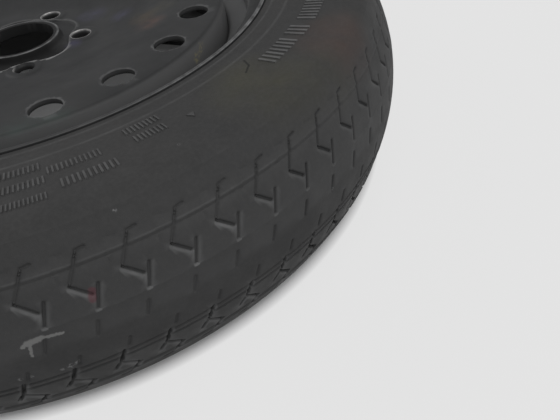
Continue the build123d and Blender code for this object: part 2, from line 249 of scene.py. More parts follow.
def treadCell():
    # flat triangles of one pitch with every groove edge in place, in metres: x round the tread, y along the section
    pitchLength = 2 * math.pi * tyreR / tyreSet["pitchCount"]
    x0, x1 = tyreSet["cellStart"] * pitchLength, (tyreSet["cellStart"] + 1) * pitchLength
    top = runAt(tyreSet["cellTop"])
    lineRows = []
    for z, half, rise in treadLines:
        mid = runAt(z * mm)
        lineRows += [(mid + k * half * mm, rise * mm if abs(k) < 0.5 else 0.0) for k in (-1, -0.4, 0.4, 1)]
    points, edges, ringDepth = [], [], {}

    def chain(line, closed):
        base = len(points)
        points.extend(line)
        count = len(line)
        edges.extend((base + k, base + (k + 1) % count) for k in range(count if closed else count - 1))
        return range(base, base + count)

    rows = sorted({round(y, 7) for y, _ in lineRows} | {-top, top})
    filled = [rows[0]]
    for y in rows[1:]:
        parts = max(1, round((y - filled[-1]) / tyreSet["gridUp"]))
        start = filled[-1]
        filled += [start + (y - start) * (k + 1) / parts for k in range(parts)]
    steps = tyreSet["edgeSteps"]
    across = [x0 + (x1 - x0) * k / steps for k in range(steps + 1)]
    chain([Vector((x, -top)) for x in across], False)
    chain([Vector((x, top)) for x in across], False)
    chain([Vector((x0, y)) for y in filled], False)
    chain([Vector((x1, y)) for y in filled], False)
    for y, _ in lineRows:
        chain([Vector((x, y)) for x in across], False)
    grooves = []
    for groove in treadGrooves:
        path = [Vector((u * pitchLength, runAt(z * mm))) for u, z in groove["path"]]
        half, depth = groove["half"] * mm, groove["depth"] * mm
        levels = [(half + tyreSet["lipSpread"], 0.0), (half, tyreSet["lipDrop"]),
                  (half * (1 - tyreSet["wallLean"]), depth)]
        for reach, drop in levels:
            for i in chain(offsetRing(path, reach), True):
                ringDepth[i] = drop
        grooves.append((path, levels))
    for i in range(1, tyreSet["gridAcross"] * 2):
        for y in filled[1:-1]:
            x = x0 + (x1 - x0) * i / (tyreSet["gridAcross"] * 2)
            p = Vector((x, y))
            clear = all(lineDistance(p, path) > levels[0][0] + tyreSet["gridClear"] for path, levels in grooves)
            if clear and (i % 2 == 0 or any(lineDistance(p, path) < tyreSet["gridNear"] for path, _ in grooves)):
                points.append(p)
    flat, _, tris, source, _, _ = delaunay_2d_cdt(points, edges, [], 0, 1e-6)

    def lineRise(y):
        for z, half, rise in treadLines:
            d = abs(y - runAt(z * mm)) / (half * mm)
            if d < 1:
                return rise * mm * min(1.0, (1 - d) / 0.6)
        return 0.0

    def grooveDrop(p):
        drop = 0.0
        for path, levels in grooves:
            d = lineDistance(p, path)
            if d < levels[0][0]:
                for (outer, shallow), (inner, deep) in zip(levels, levels[1:]):
                    if inner <= d:
                        drop = max(drop, shallow + (deep - shallow) * (outer - d) / (outer - inner))
                        break
                else:
                    drop = max(drop, levels[-1][1])
        return drop

    def lowerLip(p):
        # how far a place on a groove's lip lies on its lower side, which gets a painted highlight for light on the
        # lower wall
        for groove, (path, levels) in zip(treadGrooves, grooves):
            d = lineDistance(p, path)
            if groove["depth"] > 1.1 and levels[1][0] * 0.5 < d < levels[0][0] * 1.02:
                step = 0.1 * mm
                fall = (lineDistance(p + Vector((0, step)), path) - d) / step
                side = (lineDistance(p + Vector((step, 0)), path) - d) / step
                return min(1.0, 1.5 * max(0.0, -fall, -0.2 * side))
        return 0.0

    height, drops, lips = [], [], []
    for p, origin in zip(flat, source):
        own = [ringDepth[i] for i in origin if i in ringDepth]
        drop = max([grooveDrop(p) if not own else 0.0] + own)
        if own:
            drop = max(drop, grooveDrop(p) if drop == 0.0 else 0.0)
        rise = lineRise(p.y) * max(0.0, 1 - drop / (1.2 * mm))
        height.append(rise - drop)
        drops.append(drop)
        # raised lines paler; lower groove lips paler as a painted highlight
        lips.append(0.22 if rise > 0.2 * mm else lowerLip(p))
    return flat, tris, height, drops, lips, x0, x1, top, pitchLength


def buildTyre():
    flat, tris, height, drops, lips, x0, x1, top, pitchLength = treadCell()
    count = tyreSet["pitchCount"]
    step = 2 * math.pi / count
    eps = 1e-6
    leftOf = {round(p.y, 6): i for i, p in enumerate(flat) if abs(p.x - x0) < eps}
    rightSide = {i: leftOf[round(p.y, 6)] for i, p in enumerate(flat) if abs(p.x - x1) < eps}
    own = [i for i in range(len(flat)) if i not in rightSide]
    place = {i: k for k, i in enumerate(own)}
    perCell = len(own)
    verts, faces, lip, floor, dustAndFill = [], [], [], [], []
    skins = [tyreSkin(flat[i].y) for i in own]
    for k in range(count):
        groovesShaded = grooveShadeShare(math.degrees(step * k))
        for i, (r, z, nr, nz) in zip(own, skins):
            turn = step * (k + flat[i].x / pitchLength)
            h = height[i]
            verts.append(onWheel(r + nr * h, turn, z + nz * h))
            # groove floors darker: painted shade, stronger on one stretch of the tread
            floor.append(min(1.0, drops[i] / tyreSet["floorDrop"]) * (0.25 + 0.75 * groovesShaded))
            # lips paler: wear and painted highlight, weaker on the stretch with painted groove shade
            lip.append(lips[i] * (1 - 0.7 * groovesShaded))
            # upright faces paler: dust on the tread and painted fill light
            dustAndFill.append(sideShare(nz) * (1.0 if z > 0 else 0.5))
        for tri in tris:
            ids = []
            for i in tri:
                if i in rightSide:
                    ids.append(((k + 1) % count) * perCell + place[rightSide[i]])
                else:
                    ids.append(k * perCell + place[i])
            faces.append(tuple(ids))
    # rings of the tread's two edges, then the sidewalls, beads and lining between them
    rims = []
    for level in (top, -top):
        row = sorted((flat[i].x, place[i]) for i in own if abs(flat[i].y - level) < eps)
        rims.append([k * perCell + i for k in range(count) for _, i in row])
    segments = len(rims[0])
    turn0 = step * tyreSet["cellStart"]
    wallRows = wallProfile(top, ribSet["rise"])
    bead = [(wallFoot[0], wallFoot[1] - tyreSet["footDrop"]),
            (wallFoot[0], tyreSet["faceZ"] + tyreSet["heelBevel"]),
            (wallFoot[0] - tyreSet["heelBevel"], tyreSet["faceZ"]),
            (tyreSet["seatR"] + tyreSet["heelCut"], tyreSet["faceZ"]),
            (tyreSet["seatR"] - tyreSet["heelDrop"], tyreSet["faceZ"] - tyreSet["heelCut"]),
            (tyreSet["toeR"], tyreSet["toeZ"])]
    lining = [(flangeR, tyreSet["beadInZ"]), (flangeR + tyreSet["bendIn"][0], tyreSet["bendIn"][1]),
              (bendR, halfWidth - tyreSet["wallGauge"]),
              (tyreR - tyreSet["treadGauge"], halfWidth - tyreSet["liningCorner"])]
    upper = wallRows + bead + lining
    lower = [(r, -z) for r, z in reversed(wallProfile(top, 0.0) + bead + lining)]
    before = len(verts)
    turnedRings(verts, faces, upper + lower, segments, rims[0], rims[1], turn0)
    lip += [ringWear(r) if z > 0 else 0.0 for r, z in upper + lower for _ in range(segments)]
    floor += [0.0] * (len(verts) - before)
    # upright faces paler: painted fill light and dust
    dustAndFill += [sideShare(wallLean(r)) if z > 0 else 1.0 for r, z in upper + lower for _ in range(segments)]
    piece = makePiece("tyre_dressed", verts, faces, "wheel", ("tyre",), 38)
    setField(piece, "lipWearAndHighlight", lip)
    setField(piece, "grooveShade", floor)
    setField(piece, "treadDustAndFill", dustAndFill)
    return piece


# stretch of the tread where groove floors get more painted shade and lips less painted highlight: middle of the
# stretch, reach to either side and fade, in degrees
grooveShadeSet = {"middle": -35, "reach": 41, "fade": 10}


def grooveShadeShare(degrees):
    return clamp((grooveShadeSet["reach"] - turnAway(degrees, grooveShadeSet["middle"])) / grooveShadeSet["fade"])


def sideShare(nz):
    # share of the paler tone, which is painted fill light and dust on the tread: nought on faces that look up, one on
    # upright faces
    return clamp((0.85 - nz) / 0.85)


def wallSink(run, sink):
    # the upper sidewall lies lower by the height of its ribs
    t = clamp((run - crownRun) / shoulderRun)
    return sink * t * t * (3 - 2 * t)


def wallLean(r):
    # how far a point of the upper sidewall faces up, from nought to one
    if r < bendR:
        return math.sqrt(max(0.0, 1 - ((bendR - r) / wallRadius) ** 2))
    return math.sqrt(max(0.0, 1 - ((r - bendR) / tyreSet["shoulderRadius"]) ** 2))


# moulded rings on the sidewall: radius, half width and rise, in millimetres
wallRings = [(211.0, 1.3, 0.6), (221.8, 1.5, 0.22)]


def ringWear(r):
    return 0.2 if any(abs(r - ringR * mm) < 0.5 * half * mm for ringR, half, _ in wallRings) else 0.0


def wallRunAt(r):
    # run along the section for a radius on the upper shoulder or sidewall
    if r < bendR:
        return crownRun + shoulderRun + wallRadius * math.asin((bendR - r) / wallRadius)
    radius = tyreSet["shoulderRadius"]
    return crownRun + shoulderRun - radius * math.asin((r - bendR) / radius)


def wallProfile(top, sink):
    end = crownRun + shoulderRun + wallRun - tyreSet["footRun"]
    bend, count = crownRun + shoulderRun, tyreSet["wallRows"]
    runs = [top + (bend - top) * (k + 1) / count for k in range(count)]
    runs += [bend + (end - bend) * (k + 1) / count for k in range(count)]
    for r, half, _ in wallRings:
        mid = wallRunAt(r * mm)
        runs = [s for s in runs if abs(s - mid) > half * mm * 1.6] + [mid + k * half * mm for k in (-1, -0.4, 0.4, 1)]
    rows = []
    for s in sorted(runs):
        r, z, nr, nz = tyreSkin(s)
        h = 0.0
        for ringR, half, rise in wallRings:
            d = abs(r - ringR * mm) / (half * mm)
            if d < 1.02:
                h = rise * mm * clamp((1 - d) / 0.6)
        rows.append((r + nr * h, z + nz * h - wallSink(s, sink) + wallSink(top, sink)))
    return rows


# plain ribbed fields on the sidewall, and small wear marks
ribSet = {"rise": 0.7 * mm, "sink": 0.25 * mm, "width": 1.3 * mm, "gap": 1.5 * mm, "bevel": 0.3 * mm}
# each field: first and last angle in degrees, inner and outer radius in millimetres
ribFields = [(-92.4, -85.5, 234, 241), (-91.2, -84.3, 249, 257), (-81.6, -76.6, 226, 233), (-81.2, -76.8, 237, 244),
             (-98.3, -93.0, 227, 234), (-98.3, -92.6, 241, 248), (-98.3, -93.0, 256, 262),
             (-57.5, -50.5, 235, 248), (-48.8, -46.2, 235, 249), (-43.4, -36.0, 236, 249)]
wearMarks = [(-73.3, 243.7), (-163.3, 243.7), (106.7, 243.7), (16.7, 243.7)]


def wallPoint(r, turn, lift):
    run = wallRunAt(r * mm)
    skinR, z, nr, nz = tyreSkin(run)
    return onWheel(skinR + nr * lift, turn, z + nz * lift - wallSink(run, ribSet["rise"]))


def addBlock(verts, faces, corners, bevel):
    # low block with sloped sides on the sidewall, from corners as (radius in millimetres, angle)
    base, count = len(verts), len(corners)
    midR = sum(c[0] for c in corners) / count
    midTurn = sum(c[1] for c in corners) / count
    for r, turn in corners:
        verts.append(wallPoint(r, turn, -ribSet["sink"]))
    for r, turn in corners:
        dr, dt = (midR - r) * mm, (midTurn - turn) * midR * mm
        pull = bevel / max(1e-6, math.hypot(dr, dt))
        verts.append(wallPoint(r + dr / mm * pull, turn + (midTurn - turn) * pull, ribSet["rise"]))
    for k in range(count):
        n = (k + 1) % count
        faces.append((base + k, base + n, base + count + n, base + count + k))
    faces.append(tuple(range(base + count, base + 2 * count)))
    faces.append(tuple(reversed(range(base, base + count))))


def buildWallRibs():
    verts, faces = [], []
    for first, last, low, high in ribFields:
        size = (high - low) / 8
        step = size * (ribSet["width"] + ribSet["gap"]) / ((low + high) / 2 * mm)
        half = size * ribSet["width"] / ((low + high) / 2 * mm) / 2
        turn = math.radians(first)
        while turn < math.radians(last):
            addBlock(verts, faces, [(low, turn - half), (high, turn - half), (high, turn + half), (low, turn + half)],
                     ribSet["bevel"])
            turn += step
    for turn, r in wearMarks:
        turn, half = math.radians(turn), 2.6 / r
        addBlock(verts, faces, [(r - 2, turn - half), (r + 3, turn), (r - 2, turn + half)], ribSet["bevel"])
    faces = [tuple(reversed(f)) for f in faces]
    piece = makePiece("wall_ribs", verts, faces, "wheel", (), 30)
    # rib blocks paler: wear and painted highlight
    setField(piece, "lipWearAndHighlight", [0.7 if v[0] > 0.1 else 0.4 for v in verts])
    return piece


# rim
rimSet = {
    "gauge": 2.8 * mm, "seatR": 190.1 * mm, "flangeZ": 50.8 * mm,
    "ledge": (188.41 * mm, 31.5 * mm), "wellR": 170.41 * mm, "wellTop": 26.0 * mm, "wellLow": -8.0 * mm,
    "back": (187.49 * mm, -22.0 * mm),
    "lipBend": 5.5 * mm, "heelBend": 4.0 * mm, "ledgeBend": 2.5 * mm, "wellBend": 3.0 * mm, "backBend": 6.0 * mm,
    "segments": 360, "edgeRound": 0.7 * mm, "holeR": 5.75 * mm,
}


def sheetSides(points, bends, gauge):
    # both faces of a bent sheet: the given face and the one a gauge to its right
    right, corners = [], [Vector(p) for p in points]
    for i, p in enumerate(points):
        spans = spansAt(corners, i)
        n = sum((Vector((d.y, -d.x)) for d in spans), Vector((0, 0))) / len(spans)
        n = n * (gauge / n.length_squared)
        right.append((p[0] + n.x, p[1] + n.y))
    leftBends, rightBends = [], []
    for a, p, b, bend in zip(points, points[1:], points[2:], bends):
        turn = (p[0] - a[0]) * (b[1] - p[1]) - (p[1] - a[1]) * (b[0] - p[0])
        leftBends.append(bend if turn > 0 else bend + gauge)
        rightBends.append(bend + gauge if turn > 0 else bend)
    return bentLine(points, leftBends), bentLine(right, rightBends)


def buildRim():
    s = rimSet
    points = [(flangeR, lipZ), (flangeR, s["flangeZ"]), (s["seatR"], s["flangeZ"]), s["ledge"],
              (s["wellR"], s["wellTop"]), (s["wellR"], s["wellLow"]), s["back"],
              (s["seatR"], -s["flangeZ"]), (flangeR, -s["flangeZ"]), (flangeR, -lipZ)]
    bends = [s["lipBend"], s["heelBend"], s["ledgeBend"], s["wellBend"], s["wellBend"], s["backBend"],
             s["heelBend"], s["lipBend"]]
    tyreSide, airSide = sheetSides(points, bends, s["gauge"])
    e = s["edgeRound"]
    tyreSide[0] = (flangeR, lipZ - e)
    tyreSide[-1] = (flangeR, -lipZ + e)
    inner = flangeR - s["gauge"]
    topEdge = [(inner, lipZ - e), (inner + 0.3 * e, lipZ - 0.3 * e), (inner + e, lipZ), (flangeR - e, lipZ),
               (flangeR - 0.3 * e, lipZ - 0.3 * e)]
    lowEdge = [(flangeR - 0.3 * e, -lipZ + 0.3 * e), (flangeR - e, -lipZ), (inner + e, -lipZ),
               (inner + 0.3 * e, -lipZ + 0.3 * e), (inner, -lipZ + e)]
    loop = tyreSide + lowEdge + airSide[::-1][1:-1] + topEdge
    verts, faces = [], []
    turnedRings(verts, faces, loop, s["segments"], closed=True)
    faces = [tuple(reversed(f)) for f in faces]
    edge, dustAndFill, paintedShade = [], [], []
    count = s["segments"]
    for i, (r, z) in enumerate(loop):
        # lip edges paler: wear, with a painted highlight peaking towards one side of the wheel
        wornAndLit = 1.0 if abs(abs(z) - lipZ + 0.3 * e) < 0.1 * e else (0.9 if abs(abs(z) - lipZ) < 0.1 * e else 0.0)
        outside = r > flangeR - 0.1 * e
        wornAndLit *= 1.0 if r > flangeR - e else 0.5
        edge += [1.9 * wornAndLit * (0.5 + 0.5 * math.cos(2 * math.pi * k / count + 0.4)) ** 6 for k in range(count)]
        # flange's outer face darker: painted shade in the gap against the tyre
        paintedShade += [0.1 if outside else 0.0] * count
        # upright faces and the channel paler: painted fill light
        ahead = Vector(loop[(i + 1) % len(loop)]) - Vector(loop[i - 1])
        share = 0.95 * sideShare(abs(ahead.x) / max(1e-9, ahead.length))
        channel = r < s["ledge"][0] and z > s["wellLow"]
        dustAndFill += [0.0 if outside else max(share, 0.55 if channel else 0.0)] * count
    piece = makePiece("rim_dressed", verts, faces, "wheel", ("rim",), 50)
    setField(piece, "edgeWearAndHighlight", edge)
    setField(piece, "paintedFillLight", dustAndFill)
    setField(piece, "paintedShade", paintedShade)
    drillValveHole(piece)
    return piece


def drillValveHole(piece):
    count, reach = 48, 40 * mm
    side = valveAxis.orthogonal().normalized()
    other = valveAxis.cross(side)
    verts = []
    for end in (-1, 0):
        for k in range(count):
            a = 2 * math.pi * k / count
            spoke = (side * math.cos(a) + other * math.sin(a)) * rimSet["holeR"]
            verts.append(valveMouth + valveAxis * (end * reach) + spoke)
    faces = [(k, (k + 1) % count, count + (k + 1) % count, count + k) for k in range(count)]
    faces += [tuple(reversed(range(count))), tuple(range(count, 2 * count))]
    mesh = bpy.data.meshes.new("drill")
    mesh.from_pydata(verts, [], faces)
    drill = bpy.data.objects.new("drill", mesh)
    bpy.context.scene.collection.objects.link(drill)
    cut = piece.modifiers.new("valveHole", "BOOLEAN")
    cut.object = drill
    cut.operation = "DIFFERENCE"
    cut.solver = "EXACT"
    view = bpy.context.evaluated_depsgraph_get()
    piece.data = bpy.data.meshes.new_from_object(piece.evaluated_get(view))
    piece.modifiers.clear()
    bpy.data.objects.remove(drill)


# disc
discSet = {
    "gauge": 4 * mm, "boreR": 28.55 * mm, "collarR": 33.0 * mm, "collarTop": 8.3 * mm, "collarRound": 1.0 * mm,
    "wallFoot": 34.6 * mm, "valleyZ": 2.6 * mm, "valleyEdge": 45.0 * mm, "valleyWave": 3.6 * mm, "valleyRamp": 2.2 * mm,
    "hubR": 68 * mm, "crownStart": (126 * mm, 16.9 * mm), "skirtR": discHigh[0], "crownTop": 17.9 * mm,
    "skirtLow": discLow[2], "dishBend": 60 * mm, "crownBend": 5.2 * mm, "edgeBend": 3.4 * mm, "flatR": 157.9 * mm,
    "ventCount": 18, "ventR": 11.2 * mm, "ventCircle": 146.5 * mm, "ventTurn": 10, "ventRound": 1.3 * mm,
    "ventThin": 2.0 * mm,
    "lugCount": 5, "lugR": 6.5 * mm, "lugCircle": 50 * mm, "lugTurn": 50, "seatR": 8.23 * mm,
    "bossTopR": 12.5 * mm, "bossR": 14.5 * mm, "bossRise": 0.8 * mm, "seatDrop": 3.0 * mm,
    "rimSteps": 40, "outerSteps": 360, "boreSteps": 120, "valleySteps": 240, "highlightSides": {3: (166, 38)},
    "nearMiddle": -95, "nearReach": 62, "nearFade": 25, "gridStart": 46 * mm, "gridStep": 4.3 * mm,
    "gridArc": 4.6 * mm, "gridClear": 3.4 * mm,
}


def heightOn(profile, r):
    for (r0, z0), (r1, z1) in zip(profile, profile[1:]):
        if r0 <= r <= r1:
            return z0 + (z1 - z0) * (r - r0) / max(1e-9, r1 - r0)
    return profile[0][1] if r < profile[0][0] else profile[-1][1]


def softMax(a, b, k):
    return 0.5 * (a + b + math.sqrt((a - b) ** 2 + k * k))


def buildDisc():
    s = discSet
    dish = [(s["boreR"], s["gauge"]), (s["hubR"], s["gauge"]), s["crownStart"], (s["skirtR"], s["crownTop"])]
    top = bentLine(dish, [s["dishBend"], s["dishBend"] + s["gauge"]], 0.02)
    under = bentLine([(s["boreR"], 0), (s["hubR"] + 0.4 * mm, 0),
                      (s["crownStart"][0] + 0.3 * mm, s["crownStart"][1] - s["gauge"]),
                      (s["skirtR"], s["crownTop"] - s["gauge"])], [s["dishBend"] + s["gauge"], s["dishBend"]], 0.02)
    collar = bentLine([(s["boreR"] + 0.7 * mm, s["collarTop"]), (s["collarR"], s["collarTop"]),
                       (s["wallFoot"], s["valleyZ"]), (s["wallFoot"] + 6 * mm, s["valleyZ"])],
                      [s["collarRound"], 1.2 * mm], 0.15)
    ramp = s["valleyRamp"]

    def valleyFoot(turn):
        return s["valleyEdge"] - s["valleyWave"] * math.cos(s["lugCount"] * (turn - math.radians(s["lugTurn"])))

    def placesRound(circleR, turn, count):
        turns = [math.radians(turn + 360 / count * k) for k in range(count)]
        return [(circleR * math.cos(a), circleR * math.sin(a)) for a in turns]

    lugs = placesRound(s["lugCircle"], s["lugTurn"], s["lugCount"])
    vents = placesRound(s["ventCircle"], s["ventTurn"], s["ventCount"])
    bossTop = s["gauge"] + s["bossRise"]

    def nearSideShare(turn):
        # painted shade in the hub's valley, and a painted highlight on its foot line, lie on the near side
        away = turnAway(math.degrees(turn), s["nearMiddle"])
        return max(0.12, min(1.0, (s["nearReach"] - away) / s["nearFade"]))

    def topHeight(x, y):
        # height, edge wear and painted highlight, painted shade, and bare metal at a place on the upper face
        r = math.hypot(x, y)
        z = heightOn(top, r)
        wearAndHighlight = paintedShade = bareAndGlint = 0.0
        lug = False
        for k, (lx, ly) in enumerate(lugs):
            d = math.hypot(x - lx, y - ly)
            if d < s["bossR"] + 6 * mm:
                rise = bossTop - max(0.0, d - s["bossTopR"]) * s["bossRise"] / (s["bossR"] - s["bossTopR"])
                z = softMax(z, rise, 0.3 * mm) if d > s["bossTopR"] else max(z, bossTop)
                if d < s["seatR"]:
                    z = bossTop - (s["seatR"] - d) * s["seatDrop"] / (s["seatR"] - s["lugR"])
                # bare metal on the seats; on the listed lugs only one side is bare, a painted highlight
                if s["lugR"] + 0.1 * mm < d < s["seatR"] + 0.3 * mm:
                    bareAndGlint = clamp((d - s["seatR"] + 0.8 * mm) / (0.5 * mm))
                    if k in s["highlightSides"]:
                        middle, half = s["highlightSides"][k]
                        away = turnAway(math.degrees(math.atan2(y - ly, x - lx)), middle)
                        bareAndGlint *= max(0.0, 1 - away / half)
                if d < s["seatR"] + 0.3 * mm:
                    lug = True
                    # lug hole's edge darker: painted shade
                    paintedShade = 1.0 if d < s["lugR"] + 0.4 * mm else 0.0
        if r < s["valleyEdge"] + s["valleyWave"] + 1 * mm and not lug:
            turn = math.atan2(y, x)
            gap, nearSide = valleyFoot(turn) - r, nearSideShare(turn)
            climb = clamp(1 - gap / ramp)
            z = s["valleyZ"] + (z - s["valleyZ"]) * climb * climb * (3 - 2 * climb)
            # foot line on the near side paler and partly bare: painted highlight
            if abs(gap) < 0.45 * mm:
                wearAndHighlight = 0.2 + 0.8 * nearSide
                bareAndGlint = 0.5 * nearSide
            # valley darker towards the collar: painted shade
            paintedShade = nearSide * clamp(gap / ramp)
            if r < s["wallFoot"] + 4 * mm:
                z = max(z, heightOn(collar, r))
            if r < s["collarR"] - 0.2 * mm:
                # collar's outer top edge paler: wear and painted highlight; its inner part darker: painted shade
                paintedShade, wearAndHighlight = (0.0, 0.9) if r > s["collarR"] - 1.2 * mm else (0.6, 0.0)
            if r < s["boreR"] + 0.7 * mm:
                z = s["collarTop"] - 0.5 * mm * ((s["boreR"] + 0.7 * mm - r) / (0.7 * mm)) ** 2
        for vx, vy in vents:
            d = math.hypot(x - vx, y - vy) - s["ventR"]
            if d < s["ventRound"]:
                z -= 0.55 * mm * (1 - max(0.0, d) / s["ventRound"]) ** 2
                # vent edges paler: wear and painted highlight
                wearAndHighlight = max(wearAndHighlight, 0.35)
        return z, wearAndHighlight, paintedShade, bareAndGlint

    points, edges = [], []

    def circle(cx, cy, r, count, joined=True):
        base = len(points)
        for k in range(count):
            a = 2 * math.pi * k / count
            points.append(Vector((cx + r * math.cos(a), cy + r * math.sin(a))))
        if joined:
            edges.extend((base + k, base + (k + 1) % count) for k in range(count))
        return list(range(base, base + count))

    outer = circle(0, 0, s["flatR"], s["outerSteps"])
    bore = circle(0, 0, s["boreR"], s["boreSteps"])
    for dr in (0.25, 0.7, 2.0, 3.4, 3.8, 4.15, 4.45, 4.9, 5.5, 6.1, 6.7):
        circle(0, 0, s["boreR"] + dr * mm, s["boreSteps"], dr < 6)
    for shift in (-1.0, -0.66, -0.33, -0.12, 0.12):
        base, count = len(points), s["valleySteps"]
        for k in range(count):
            a = 2 * math.pi * k / count
            r = valleyFoot(a) + shift * ramp
            points.append(Vector((r * math.cos(a), r * math.sin(a))))
        edges.extend((base + k, base + (k + 1) % count) for k in range(count))
    holes = [bore]
    for lx, ly in lugs:
        holes.append(circle(lx, ly, s["lugR"], s["rimSteps"]))
        for r in (s["lugR"] + 0.3 * mm, s["lugR"] + 0.9 * mm, s["seatR"], s["seatR"] + 0.25 * mm,
                  s["seatR"] + 0.55 * mm, s["bossTopR"]):
            circle(lx, ly, r, s["rimSteps"])
        for r in (13.3, 14.2, 15.2, 16.8):
            circle(lx, ly, r * mm, s["rimSteps"], False)
    for vx, vy in vents:
        holes.append(circle(vx, vy, s["ventR"], s["rimSteps"]))
        for d in (0.3, 0.7, 1.3, 2.6):
            if math.hypot(vx, vy) + s["ventR"] + d * mm < s["flatR"]:
                circle(vx, vy, s["ventR"] + d * mm, s["rimSteps"], d < 1)
            else:
                for k in range(s["rimSteps"]):
                    a = 2 * math.pi * k / s["rimSteps"]
                    p = Vector((vx + (s["ventR"] + d * mm) * math.cos(a), vy + (s["ventR"] + d * mm) * math.sin(a)))
                    if p.length < s["flatR"] - 0.2 * mm:
                        points.append(p)
    for k in range(26):
        r = s["gridStart"] + s["gridStep"] * k
        if r > s["flatR"] - 2 * mm:
            break
        count = max(48, int(2 * math.pi * r / s["gridArc"]))
        for j in range(count):
            a = 2 * math.pi * (j + 0.5 * (k % 2)) / count
            p = Vector((r * math.cos(a), r * math.sin(a)))
            clear = all((p - Vector(c)).length > s["bossR"] + s["gridClear"] for c in lugs)
            clear = clear and all((p - Vector(c)).length > s["ventR"] + s["gridClear"] for c in vents)
            if clear:
                points.append(p)
    flat, _, tris, source, _, _ = delaunay_2d_cdt(points, edges, [], 0, 1e-7)
    spot = {i: k for k, ids in enumerate(source) for i in ids}

    def inHole(a, b, c):
        m = (flat[a] + flat[b] + flat[c]) / 3
        if m.length < s["boreR"] * 0.999 or m.length > s["flatR"]:
            return True
        if any((m - Vector(v)).length < s["lugR"] * 0.995 for v in lugs):
            return True
        return any((m - Vector(v)).length < s["ventR"] * 0.996 for v in vents)

    tris = [t for t in tris if not inHole(*t)]
    verts, faces = [], []
    fields = {"edgeWearAndHighlight": [], "paintedShade": [], "bareMetalAndGlint": []}
    for p in flat:
        z, wearAndHighlight, paintedShade, bareAndGlint = topHeight(p.x, p.y)
        verts.append((p.x, p.y, z))
        for name, value in (("edgeWearAndHighlight", wearAndHighlight), ("paintedShade", paintedShade), ("bareMetalAndGlint", bareAndGlint)):
            fields[name].append(value)
    base = len(verts)
    verts += [(p.x, p.y, heightOn(under, p.length)) for p in flat]
    for a, b, c in tris:
        faces.append((a, b, c))
        faces.append((base + a, base + c, base + b))
    for i in (spot[i] for ring in holes[1 + s["lugCount"]:] for i in ring):
        x, y, z = verts[base + i]
        verts[base + i] = (x, y, z + s["ventThin"])
    for ring in holes:
        ids = [spot[i] for i in ring]
        for k in range(len(ids)):
            a, b = ids[k], ids[(k + 1) % len(ids)]
            faces.append((a, b, base + b, base + a))
    # rolled edge and skirt
    outerTop = [spot[i] for i in outer]
    outerLow = [base + i for i in outerTop]
    skirtTop = bentLine([(s["flatR"], heightOn(top, s["flatR"])), (s["skirtR"], s["crownTop"]),
                         (s["skirtR"], s["skirtLow"])], [s["edgeBend"]], 0.12)[1:]
    inside = s["skirtR"] - s["gauge"]
    skirtIn = bentLine([(inside, s["skirtLow"]), (inside, s["crownTop"] - s["gauge"]),
                        (s["flatR"], heightOn(under, s["flatR"]))], [s["crownBend"]], 0.12)[:-1]
    profile = [(r, z - midZ) for r, z in skirtTop + skirtIn]
    turnedRings(verts, faces, profile, s["outerSteps"], outerTop, outerLow)
    used = sorted({i for f in faces for i in f})
    renumber = {i: k for k, i in enumerate(used)}
    faces = [tuple(renumber[i] for i in f) for f in faces]
    piece = makePiece("disc_dressed", [verts[i] for i in used], faces, "wheel", ("disc",), 42)
    for name, values in fields.items():
        values += [0.0] * (len(verts) - len(values))
    # skirt's upper outer face paler: painted fill light
    fields["paintedFillLight"] = [0.0] * len(fields["paintedShade"])
    for i in range(2 * base, len(verts)):
        x, y, z = verts[i]
        away = math.hypot(x, y) - s["skirtR"] + s["edgeBend"]
        if away > 0:
            upper = 0.65 * clamp((z - 1 * mm) / (9 * mm))
            fields["paintedFillLight"][i] = upper * sideShare(math.sqrt(max(0.0, 1 - (away / s["edgeBend"]) ** 2)))
    # lug hole walls darker: painted shade; vent walls' lower rings paler: painted fill light
    for k, ring in enumerate(holes):
        for i in ring:
            vent = k > s["lugCount"]
            fields["paintedShade"][base + spot[i]] = 0.0 if vent else 0.9
            fields["paintedFillLight"][base + spot[i]] = 0.25 if vent else 0.0
    for name, values in fields.items():
        setField(piece, name, [values[i] for i in used])
    return piece


# weld runs between the disc's skirt and the well
weldLow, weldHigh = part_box("weld_beads")
weldSet = {"count": 12, "arc": 14.0, "leg": weldHigh[2] - weldLow[2], "steps": 56, "ripple": 0.22 * mm, "ripples": 14,
           "belly": 0.45 * mm}


def buildWelds():
    s = weldSet
    outR, topZ = weldHigh[0], weldHigh[2]
    verts, faces = [], []
    for k in range(s["count"]):
        rings = []
        for i in range(s["steps"] + 1):
            t = i / s["steps"]
            turn = math.radians(360 / s["count"] * k + s["arc"] * t)
            ends = min(1.0, 7 * min(t, 1 - t) + 0.35)
            leg = s["leg"] * ends - s["ripple"] * (1 + math.cos(2 * math.pi * s["ripples"] * t)) * ends
            ring = [(outR, topZ), (outR, topZ - leg)]
            for q in (0.25, 0.5, 0.75):
                bow = s["belly"] * ends * math.sin(math.pi * q)
                ring.append((outR - leg * q - bow * 0.7, topZ - leg * (1 - q) - bow * 0.7))
            ring.append((outR - leg, topZ))
            base = len(verts)
            verts += [(r * math.cos(turn), r * math.sin(turn), z) for r, z in ring]
            rings.append(list(range(base, base + len(ring))))
        for a, b in zip(rings, rings[1:]):
            for j in range(len(a)):
                n = (j + 1) % len(a)
                faces.append((a[j], a[n], b[n], b[j]))
        faces.append(tuple(reversed(rings[0])))
        faces.append(tuple(rings[-1]))
    return makePiece("weld_beads_dressed", verts, faces, "wheel", ("weld_beads",), 50)


# spring of the valve core, kept in its rest shape; the real spring shortens as the pin is pressed
def buildSpring():
    source = nodes["core_spring"]
    points = [source.matrix_world @ v.co for v in source.data.vertices]
    return makePiece("core_spring_dressed", points, [tuple(f.vertices) for f in source.data.polygons],
                     "wheel", ("core_spring",), 30)


def shortenSpring(piece):
    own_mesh(piece)


